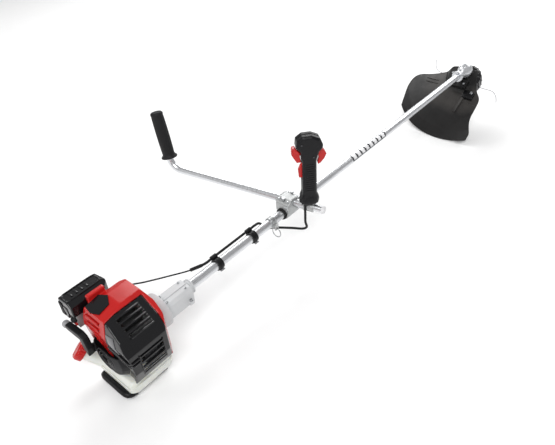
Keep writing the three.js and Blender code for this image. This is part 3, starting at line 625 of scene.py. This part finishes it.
def ribbed_grip():
    """A rubber grip with a collar below, a slight waist and flutes that fade at both ends."""
    flutes_start, flutes_end, fade = 52, 168, 6

    def flutes(angle, z):
        inside = min(max((z - flutes_start) / fade, 0), max((flutes_end - z) / fade, 0), 1)
        return 1 + 0.028 * inside * (abs(math.sin(angle * 10)) ** 0.6 - 0.6)

    bore = BAR_RADIUS + 0.4
    collar = [(bore, 35.2), (21, 35.2), (24.4, 36.2), (24.8, 38.0), (23.6, 40), (19.6, 44), (18.6, 47)]
    waist = [(18.3 + math.sin(math.pi * (z - 45) / 125), z) for z in range(50, 171, 3)]
    crown = [(19.2, 173), (18.4, 176.5), (15.8, 179.2), (12, 179.9), (0, 179.9)]
    make_piece("ribbed_left_grip", lathe([*collar, *waist, *crown], 120, flutes), "black_rubber", "frame",
               place=in_machine(LEFT_CORNER, GRIP_AXIS), replaces=["left_grip"], smooth=50)


# ---- Bracket, hanger, clips and cable ----

def bracket_details():
    cap_shoulder, cap_top = 37.8, 47.2
    heads = [moved(hex_bolt(5.2, 7), Matrix.Translation((x, BAR_MIDDLE.y + side * 18, cap_shoulder)))
             for side in (-1, 1) for x in (-16, 16)]
    make_piece("bracket_screws", merged(heads), "steel", "frame")
    ribs = [bar_block(x - 1.5, BAR_MIDDLE.y - 9, cap_top - 3, x + 1.5, BAR_MIDDLE.y + 9, cap_top + 0.6)
            for x in (-20, 20)]
    make_piece("bracket_ribs", merged(ribs), "cast_metal", "frame")


def bracket_tube_pads():
    """Rubber rings on the drive tube, in front of the bracket and behind it."""
    section = rounded_rim([(13.4, -4), (17.5, -4), (17.5, 4), (13.4, 4)], 0.8)
    pads = [moved(lathe(section, 48), Matrix.Translation((0, 0, side * 29))) for side in (-1, 1)]
    make_piece("bracket_tube_pads", merged(pads), "black_rubber", "frame",
               place=in_machine((0, BAR_MIDDLE.y, 0), ALONG_TUBE))


def bracket_side_nut():
    profile = rounded_rim([(0, 0), (5, 0), (5, 3), (9, 4), (9, 10), (6, 12), (0, 12.5)], 1.0)
    knob = lathe(profile, 48, lambda angle, z: 1 + (0.06 * math.cos(angle * 8) if 3.5 < z < 11 else 0))
    make_piece("bracket_side_nut", knob, "steel", "frame",
               place=in_machine((24, BAR_MIDDLE.y + 11, 20), (1, 0, 0)))


def bar_stop_ring():
    inside, edge, crown = BAR_RADIUS + 0.3, BAR_RADIUS + 2.4, BAR_RADIUS + 2.6
    band = lathe([(inside, -5), (edge, -5), (crown, 0), (edge, 5), (inside, 5)], 40)
    make_piece("bar_stop_ring", band, "bright_cast", "frame",
               place=in_machine(BAR_MIDDLE + BAR_DIRECTION * 42, BAR_DIRECTION))


def band_edge(inside, outside, half_width):
    """A thin flat ring about Z."""
    return lathe([(inside, -half_width), (outside, -half_width), (outside, half_width), (inside, half_width),
                  (inside, -half_width)], 48)


def hanger_details():
    make_piece("hanger_bolt", hex_bolt(4, 5), "steel", "frame",
               place=in_machine((8, HANGER_Y, 13.5), (0.45, 0, 0.9)))
    edges = [moved(band_edge(15.9, 16.3, 0.7), Matrix.Translation((0, 0, side * 5.4))) for side in (-1, 1)]
    make_piece("hanger_band_edges", merged(edges), "bright_cast", "frame",
               place=in_machine((0, HANGER_Y, 0), ALONG_TUBE))


def wire_ring():
    """The ring hangs from its pivot, so its middle is one radius below."""
    radius, steps = 15, 48
    angles = [i * math.tau / steps for i in range(steps + 1)]
    turns = [Vector((radius * math.sin(angle), 0, radius * math.cos(angle) - radius)) for angle in angles]
    make_piece("wire_ring", tube_along(turns, 1.3, 14, closed_ends=False), "steel", "ring",
               place=Matrix.Translation(JOINTS["ring_swing"]["pos_m"]), replaces=["hanger_ring"])


def clip_details():
    for index, y in enumerate(CLIP_PLACES):
        tab = bar_block(10, y - 6, -14.5, 17, y + 8, -12.3, 0.5)
        make_piece(f"clip_tab_{index + 1}", tab, "grey_plastic", "frame")
        make_piece(f"clip_strap_{index + 1}", band_edge(16.3, 17.1, 2.2), "black_plastic", "frame",
                   place=in_machine((0, y, 0), ALONG_TUBE))


def cable():
    """The throttle cable: a thin inner run, a thick conduit with fine rings, and a boot where they meet."""
    x, z = CABLE_SIDE
    entry = MACHINE.inverted() @ (HANDLE @ (Vector((10, -14, 0)) * MM)) / MM
    thin = [
        (-82.5, -216, 44), (-82, -200, 50), (-82, -184, 52), (-81, -150, 51), (-78, -118, 48), (-64, -84, 40),
        (-40, -20, 27), (-24, 20, 21), (x, 60, z),
    ]
    thick = [
        (-21, 30, 20.5), (x, 66, z), (x, 98, z), (x, 165, z), (x, 232, z), (x, 262, z), (-21, 286, 2),
        (-13, 305, -22), (8, 330, -28), (36, 362, -37), (56, 384, -44), (entry.x + 3, entry.y + 2, -38),
        (entry.x, entry.y, -20), (entry.x, entry.y, 5), (entry.x, entry.y, 30), (entry.x, entry.y, 52),
    ]
    boot = [(-22.5, 24, 20.7), (-20.8, 31, 20.3), (-17.5, 44, 18.9), (-15.2, 56, 17.2)]
    pieces = [
        tube_along(smooth_path(thin, 6), 2.0, 14),
        tube_along(smooth_path(thick, 4), 3.5, 20, shape=lambda i: 1 + 0.03 * (i % 2)),
        tube_along(smooth_path(boot, 3), 4.6, 18),
    ]
    make_piece("throttle_cable_run", merged(pieces), "black_rubber", "frame", replaces=["throttle_cable"])


def tube_patch(angle0, angle1, y0, y1, radius, columns=10):
    """A thin printed patch that hugs the drive tube; angles are in degrees from the X axis."""
    vertices, faces = [], []
    for column in range(columns + 1):
        angle = math.radians(angle0 + (angle1 - angle0) * column / columns)
        for y, r in ((y0, radius), (y1, radius), (y1, TUBE_RADIUS - 0.2), (y0, TUBE_RADIUS - 0.2)):
            vertices.append((r * math.cos(angle), y, r * math.sin(angle)))
    for column in range(columns):
        a, b = 4 * column, 4 * column + 4
        faces += [(a + i, a + (i + 1) % 4, b + (i + 1) % 4, b + i) for i in range(4)]
    faces += [(0, 1, 2, 3), (4 * columns, 4 * columns + 1, 4 * columns + 2, 4 * columns + 3)]
    return mesh_of(vertices, faces)


def tube_label():
    """A label with no lettering: white blocks between dark ticks, over a dark line."""
    start, pitch, count = 706, 24, 8
    tick = 5
    ink = TUBE_RADIUS + 0.1
    places = [start + i * pitch for i in range(count + 1)]
    ticks = [tube_patch(10, 98, y, y + tick, ink) for y in places]
    line = tube_patch(-2, 10, places[0], places[-1] + tick, ink)
    make_piece("label_ticks", merged([*ticks, line]), "black_plastic", "frame")
    blocks = [tube_patch(20, 92, y + 8, y + pitch - 3, TUBE_RADIUS + 0.12) for y in places[:-1]]
    make_piece("label_blocks", merged(blocks), "white_ink", "frame")


bent_bar()
bar_end_plug()
ribbed_grip()
bracket_details()
bracket_tube_pads()
bracket_side_nut()
bar_stop_ring()
hanger_details()
wire_ring()
clip_details()
cable()
tube_label()


# ---- Control handle. In its own frame Y runs forward and Z up the handle. ----

def handle_ribs():
    for side, word in ((-1, "left"), (1, "right")):
        x = 18.1 * side
        pads = [bar_block(min(x, x + side), -12, z - 2, max(x, x + side), 11, z + 2, 0.4)
                for z in range(66, 156, 7)]
        make_piece(f"handle_ribs_{word}", merged(pads), "black_rubber", "frame", place=HANDLE)


def handle_screws():
    sideways = Matrix.Rotation(math.pi / 2, 4, "Y")
    screws = [moved(socket_screw(2.6, 1.4), Matrix.Translation((18.0, y, z)) @ sideways)
              for y, z in ((10, 174), (-22, 214))]
    make_piece("handle_screws", merged(screws), "dark_steel", "frame", place=HANDLE)


def handle_collar():
    """The flared foot of the handle, a little narrower across than from front to back."""
    profile = [(20, 16), (23, 17), (26.5, 22), (27.2, 30), (25, 40), (21, 49), (18, 52)]
    collar = lathe(rounded_rim(profile, 2.0), 64)
    collar.transform(Matrix.Scale(0.84, 4, (1, 0, 0)))
    collar.transform(Matrix.Scale(1.06, 4, (0, 1, 0)))
    make_piece("handle_collar", collar, "black_plastic", "frame", place=HANDLE)


def switch_ridges():
    ridges = [bar_block(-8, -46.8, z - 1, 8, -44.6, z + 1, 0.4) for z in (180, 185, 190, 195)]
    make_piece("switch_ridges", merged(ridges), "red_plastic", "stop_switch", place=HANDLE)


handle_ribs()
handle_screws()
handle_collar()
switch_ridges()


# ---- Engine ----

def fuel_cap():
    def teeth(angle, z):
        return 1 + (0.035 * (math.cos(angle * 24) > 0) if 1 < z < 17 else 0)

    profile = rounded_rim([(17.4, 0), (22.4, 0), (22.8, 16), (20.5, 21), (0, 22)], 1.4)
    grip = bar_block(-17, -3.2, 20.5, 17, 3.2, 22.6, 1.0)
    make_piece("ribbed_fuel_cap", merged([lathe(profile, 144, teeth), grip]), "red_plastic", "fuel_cap",
               place=CAP, replaces=["fuel_cap"])


WAIST_Z = 40    # the cowl's rear wall leans forward above this height


def rear_wall_y(z):
    """Where the cowl's rear wall stands at a height."""
    return -256 + ((z - WAIST_Z) * 10 / 46 if z > WAIST_Z else (WAIST_Z - z) * 0.1)


def cover_ribs():
    """Slats across the slots in the black cover's sloping top."""
    slope = (62 - 90) / (60 - 12)
    for i in range(5):
        x = 17.5 + i * 12
        z = 90 + (x - 12) * slope
        rib = bar_block(x - 2.4, -224, z - 1.2, x + 2.4, -160, z + 1.6, 0.9)
        make_piece(f"cover_rib_{i + 1}", rib, "gloss_black", "frame")


def cover_side_bars():
    bars = [bar_block(84.9, -228, -42 + i * 18, 87.6, -162, -38.8 + i * 18, 0.8) for i in range(4)]
    bars += [bar_block(84.6, y - 1.6, -46, 87.2, y + 1.6, 19, 0.7) for y in (-228, -162)]
    make_piece("cover_side_bars", merged(bars), "gloss_black", "frame")


def cover_belt_ribs():
    """Two ribs that run round the cover's rear right corner."""
    belts = []
    for z in (19, 9):
        y = rear_wall_y(z) - 0.8
        points = [(9, y, z), (40, y, z - 2), (78, y, z - 6), (84.6, y + 4, z - 7), (86, y + 12, z - 7),
                  (86, y + 24, z - 7)]
        belts.append(tube_along(smooth_path(points, 4), 2.6, 12))
    make_piece("cover_belt_ribs", merged(belts), "gloss_black", "frame")


def cover_facet_painted_reflection():
    """The bright facet on the rear of the black cover: a grey plate whose colour is a painted reflection on the
    black moulding.
    """
    corners = [(11, 27), (52, 24), (44, 40), (38, 64), (11, 60), (11, 40)]
    front = [(x, rear_wall_y(z) - 1.6, z) for x, z in corners]
    back = [(x, rear_wall_y(z) + 1.0, z) for x, z in corners]
    count = len(corners)
    below, above = (0, 1, 2, 5), (5, 2, 3, 4)
    faces = [below, above, tuple(i + count for i in below), tuple(i + count for i in above)]
    faces += [(i, (i + 1) % count, (i + 1) % count + count, i + count) for i in range(count)]
    plate = bevelled(mesh_of(front + back, faces), 0.9)
    make_piece("cover_rear_facet_painted_reflection", plate, "facet_grey", "frame")


def vent_frames():
    """A brow over each slot in the red shroud's rear wall; the slots narrow downwards."""
    brows = []
    for i in range(5):
        z = 66 - i * 17
        left, right = -61 + i * 5, -13 - i * 2
        wall_y = rear_wall_y(z)
        brows.append(bar_block(left, wall_y - 2.2, z + 7, right, wall_y + 1.5, z + 9.4, 0.7))
    make_piece("vent_brows", merged(brows), "red_plastic", "frame")


def stand_bumper():
    """A thick bent bar under the tank's rear edge."""
    points = [(-50, -246, -126), (-49, -262, -122), (-40, -269, -119), (0, -270, -118), (40, -269, -119),
              (49, -262, -122), (50, -246, -126)]
    make_piece("stand_bumper", tube_along(smooth_path(points, 5), 7.5, 20), "black_plastic", "frame")


def tank_seam():
    """The weld line round the tank."""
    height, corner_reach = -96, 12
    plan = [(-71, -136), (63, -136), (63, -262.6), (-71, -262.6)]
    corners = [Vector((x, y, height)) for x, y in plan]
    path = []
    for i, corner in enumerate(corners):
        back = (corners[i - 1] - corner).normalized() * corner_reach
        on = (corners[(i + 1) % len(corners)] - corner).normalized() * corner_reach
        path += rounded_corner(corner + back, corner, corner + on, 6)
    path.append(path[0])
    make_piece("tank_seam", tube_along(path, 1.5, 10, closed_ends=False), "milk_plastic", "frame")


def housing_details():
    """Ridges, the clamp's bolt and the case screws of the clutch housing."""
    ridge = bar_block(-4, -96, 19.2, 4, -16, 22.4, 1.0)
    section = rounded_rim([(17.9, -1.5), (20, -1.5), (20, 1.5), (17.9, 1.5)], 0.5)
    turn = Matrix.Rotation(-math.pi / 2, 4, "X")
    rings = [moved(lathe(section, 48), Matrix.Translation((0, y, 0)) @ turn) for y in (-3, -9)]
    make_piece("housing_ridges", merged([ridge, *rings]), "grey_paint", "frame")
    make_piece("housing_clamp_bolt", hex_bolt(4, 5), "steel", "frame", place=in_machine((27.5, -27, -15), UP))
    screws = [moved(socket_screw(3.2, 3), Matrix.Translation((x, y, 19.8)))
              for x in (-14, 14) for y in (-86, -26)]
    make_piece("housing_screws", merged(screws), "steel", "frame")


def starter_rings():
    """Three raised rings on the starter housing's rear face."""
    rings = [lathe(rounded_rim([(r, -2), (r, 1.0), (r + 2, 1.0), (r + 2, -2)], 0.5), 72)
             for r in (12, 20, 28)]
    make_piece("starter_rings", merged(rings), "black_plastic", "frame",
               place=in_machine((-2, -266, -22), (0, -1, 0)))


def starter_rope_and_knob():
    """The rope reaches far enough into its arm to stay there when the knob is pulled."""
    rope = tube_along([ROPE_HOLE + Vector((inwards, 0, 0)) for inwards in (0, 24, 49)], 1.8, 12)
    make_piece("starter_rope", rope, "black_rubber", "pull_grip")
    knob = lathe(rounded_rim([(0, 0), (8, 0), (9.5, 3), (9.5, 10), (8, 13), (0, 13.6)], 1.2), 40)
    make_piece("starter_knob", knob, "grey_plastic", "pull_grip", place=in_machine(ROPE_HOLE, (-1, 0, 0)),
               replaces=["starter_grip"])


def filter_latch():
    latch = bar_block(-120, -269.5, 56, -104, -266.6, 78, 1.0)
    make_piece("filter_latch", latch, "gloss_black", "frame")


def filter_cover_ribs():
    """Upright ribs on the filter cover's rear, and short bars inside a rim on its sloping top."""
    ribs = [bar_block(x - 1, -270.2, 44, x + 1, -266.8, 84, 0.6) for x in (-134, -129, -124)]
    on_top = Matrix.Translation((-116, 0, 97.2)) @ Matrix.Rotation(math.radians(-6), 4, "Y")
    ribs += [moved(bar_block(-9, y - 3, -1.2, 9, y + 3, 1.6, 0.9), on_top) for y in (-246, -232, -218, -204)]
    rim = [(-131, -256, 95.6), (-131, -182, 95.6), (-124, -174, 96.5), (-106, -174, 98.2), (-99, -182, 99),
           (-99, -256, 99), (-106, -262, 98.2), (-124, -262, 96.5)]
    ribs.append(tube_along(smooth_path([*rim, rim[0]], 4), 2.0, 10, closed_ends=False))
    make_piece("filter_cover_ribs", merged(ribs), "gloss_black", "frame")


fuel_cap()
cover_ribs()
cover_side_bars()
cover_belt_ribs()
cover_facet_painted_reflection()
vent_frames()
stand_bumper()
tank_seam()
housing_details()
starter_rings()
starter_rope_and_knob()
filter_latch()
filter_cover_ribs()


# ---- Gearcase ----

GEARCASE_PROFILE = [    # radius, and place ahead of the head's spin axis
    (13.4, -72), (20.5, -72), (22.4, -70), (22.4, -64), (20, -61), (18.6, -56), (18.8, -38), (22, -26),
    (26, -15), (28, -3), (27.6, 8), (24.5, 18), (19, 24), (12, 27.4), (0, 28),
]


def gearcase_shell():
    shell = lathe([(radius, GEAR_Y + ahead) for radius, ahead in GEARCASE_PROFILE], 72)
    make_piece("gearcase_shell", shell, "bright_cast", "frame", replaces=["gearcase"],
               place=MACHINE @ Matrix.Rotation(-math.pi / 2, 4, "X"))


def gearcase_bosses():
    """The nose over the head, the dome opposite it, and the plug on the front."""
    nose = lathe(rounded_rim([(27, 0), (24, -10), (21.4, -16), (21.4, -25), (7, -25), (7, -24)], 1.2), 64)
    dome = lathe(rounded_rim([(16, 14), (13, 26), (12.4, 30), (10, 32), (0, 32.4)], 1.2), 48)
    make_piece("gearcase_nose", merged([nose, dome]), "bright_cast", "frame", place=HEAD)
    front = lathe(rounded_rim([(10, 18), (9.4, 32), (7.5, 34), (0, 34.4)], 0.8), 40)
    make_piece("gearcase_front_boss", front, "bright_cast", "frame",
               place=in_machine((0, GEAR_Y, 8), ALONG_TUBE))


def gearcase_bolts():
    lean = Matrix.Rotation(0.3, 4, "X")
    bolts = [moved(hex_bolt(3.6, 4), Matrix.Translation((x, GEAR_Y - 67, 11)) @ lean) for x in (-19.5, 19.5)]
    bolts.append(moved(hex_bolt(4, 5), Matrix.Translation((0, GEAR_Y - 46, 18.4))))
    make_piece("gearcase_bolts", merged(bolts), "steel", "frame")


# ---- Line head and its lines. Here Z runs up the spin axis from the crossing with the tube. ----

def line_head_shell():
    """The housing with its lugs, and ribs that run down from the crown."""
    def lugs(angle, z):
        return 1 + (0.03 * (math.cos(angle * 8) > 0.2) if -84 < z < -46 else 0)

    profile = [(6.4, -28.4), (34, -28.4), (52, -33), (60.4, -41), (60.4, -86), (58, -88), (55, -60)]
    shell = lathe(rounded_rim(profile, 1.6), 128, lugs)
    rib_count = 20
    ribs = []
    for i in range(rib_count):
        turn = math.tau * (i + 0.5) / rib_count
        points = [(radius * math.cos(turn), radius * math.sin(turn), z)
                  for radius, z in ((35, -29), (50, -32.8), (58, -39), (60.9, -45), (60.9, -82))]
        ribs.append(tube_along(smooth_path(points, 4), 1.7, 10))
    make_piece("line_head_shell", merged([shell, *ribs]), "gloss_black", "head", place=HEAD,
               replaces=["line_head_housing"])


def line_eyelets():
    collars = []
    for side in (-1, 1):
        collar = lathe(rounded_rim([(2.2, 0), (4.4, 0), (4.4, 3.4), (2.2, 3.4)], 0.4), 24)
        place = Matrix.Translation((side * 60, side * -8, LINE_LEVEL))
        collars.append(moved(collar, place @ Matrix.Rotation(side * math.pi / 2, 4, "Y")))
    make_piece("line_eyelets", merged(collars), "steel", "head", place=HEAD)


def bump_knob():
    def waves(angle, z):
        return 1 + (0.03 * math.cos(angle * 12) if z < -100 else 0)

    profile = [(0, -92), (52, -92), (54, -94), (54, -96), (36, -101), (33, -111), (24, -118), (0, -119)]
    knob = lathe(rounded_rim(profile, 1.4), 96, waves)
    make_piece("bump_knob_ribbed", knob, "black_plastic", "bump_knob", place=HEAD, replaces=["bump_knob"])


LINE_DIAMETER = 2.6
LINE_ENDS = [    # X and Y at the level of the eyelets
    [(-51, 8), (-70, 8), (-95, 11), (-118, 13), (-140, 18), (-157, 34), (-168, 54), (-174, 70)],
    [(51, -8), (70, -9), (92, -10), (112, -10), (130, -18), (146, -36), (155, -56)],
]


def round_curve(name, path, diameter):
    """A curve object through a path in metres, with one open spline."""
    data = bpy.data.curves.new(name, "CURVE")
    data.dimensions = "3D"
    data.bevel_depth = diameter / 2
    data.bevel_resolution = 4
    data.use_fill_caps = True
    spline = data.splines.new("POLY")
    spline.points.add(len(path) - 1)
    for place, target in zip(path, spline.points):
        target.co = (*place, 1)
    curve = bpy.data.objects.new(name, data)
    bpy.context.scene.collection.objects.link(curve)
    return curve


def line_ends():
    for index, ends in enumerate(LINE_ENDS):
        points = [(x, y, LINE_LEVEL) for x, y in ends]
        path = [HEAD @ (point * MM) for point in smooth_path(points, 9)]
        line = round_curve(f"nylon_line_{index + 1}", path, LINE_DIAMETER * MM)
        line.data.materials.append(MATERIALS["line_nylon"])
        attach(line, "head")
        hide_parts(f"trimmer_line_{index + 1}")


# ---- Guard, in the same frame as the line head ----

GUARD_LEFT = [
    (40, 25), (-49, 24), (-73, 5), (-100, -7), (-148, -20), (-188, -26), (-210, -36), (-222, -56),
    (-225, -93), (-217, -141), (-212, -169), (-210.6, -177),
]
GUARD_SKIRT_RADIUS = 277.5
GUARD_SKIRT_ANGLES = [-138.9, -138, -135, *range(-128, -77, 10), -70, -66, -64.8]
GUARD_RIGHT = [
    (119.4, -247), (120, -240), (120, -222), (105, -190), (98, -160), (98, -95), (90, -72), (68, -45),
]
GUARD_DROP = [    # radius, and the depth of the guard's upper face there
    (0, 20.5), (23, 20.5), (66, 22.5), (80, 40), (120, 50.5), (190, 64.5), (240, 76.5), (266, 85.5),
    (280, 91),
]
GUARD_RIBS = [    # start, end and thickness
    ((-156, -40), (-98, -45), 5), ((-154, -55), (-96, -60), 5), ((40, -66), (27, -160), 12),
    ((-60, -40), (-104, -130), 3), ((64, -110), (92, -112), 4),
]


def on_guard(x, y, lift=0.0):
    """A point on the guard's upper face, or above it."""
    radius = math.hypot(x, y)
    for (r0, d0), (r1, d1) in zip(GUARD_DROP, GUARD_DROP[1:]):
        if radius <= r1:
            depth = d0 + (d1 - d0) * (radius - r0) / (r1 - r0)
            return Vector((x, y, lift - depth))
    return Vector((x, y, lift - GUARD_DROP[-1][1]))


def on_circle(radius, degrees):
    return radius * math.cos(math.radians(degrees)), radius * math.sin(math.radians(degrees))


def guard_rim():
    """A rolled edge along the guard's outline, left open under the gearcase."""
    skirt = [on_circle(GUARD_SKIRT_RADIUS, angle) for angle in GUARD_SKIRT_ANGLES]
    corners = [on_guard(x, y) for x, y in (*GUARD_LEFT, *skirt, *GUARD_RIGHT, GUARD_LEFT[0])]
    edge = [on_guard(point.x, point.y) for point in smooth_path(corners, 6)]
    edge = [point for point in edge if math.hypot(point.x, point.y) > 30]
    make_piece("guard_rim", tube_along(edge, 1.9, 10, closed_ends=False), "guard_trim", "frame", place=HEAD)


def guard_rib(start, end, thickness, steps=14):
    """A rib that rises from the guard and sinks back into it."""
    ridge = []
    for t in (step / steps for step in range(steps + 1)):
        x = start[0] + (end[0] - start[0]) * t
        y = start[1] + (end[1] - start[1]) * t
        ridge.append(on_guard(x, y, thickness / 2 * math.sin(math.pi * t) ** 0.5))
    return tube_along(ridge, thickness * 0.55, 10)


def guard_ribs():
    ribs = [guard_rib(*rib) for rib in GUARD_RIBS]
    first, last, steps = -158, -54, 40
    arc = [on_guard(*on_circle(168, first + (last - first) * i / steps), -1.6) for i in range(steps + 1)]
    ribs.append(tube_along(arc, 3.2, 12))
    make_piece("guard_ribs", merged(ribs), "guard_trim", "frame", place=HEAD)


def guard_fixings():
    boss = bar_block(30, -100, -46, 74, -66, -30, 3.0)
    make_piece("guard_boss", boss, "black_plastic", "frame", place=HEAD)
    screws = [moved(hex_bolt(5, 6), Matrix.Translation((62, -74, -30)))]
    screws += [moved(hex_bolt(4, 5), Matrix.Translation((x, -54, -10))) for x in (-20, 20)]
    make_piece("guard_screws", merged(screws), "steel", "frame", place=HEAD)


gearcase_shell()
gearcase_bosses()
gearcase_bolts()
line_head_shell()
line_eyelets()
bump_knob()
line_ends()
guard_rim()
guard_ribs()
guard_fixings()
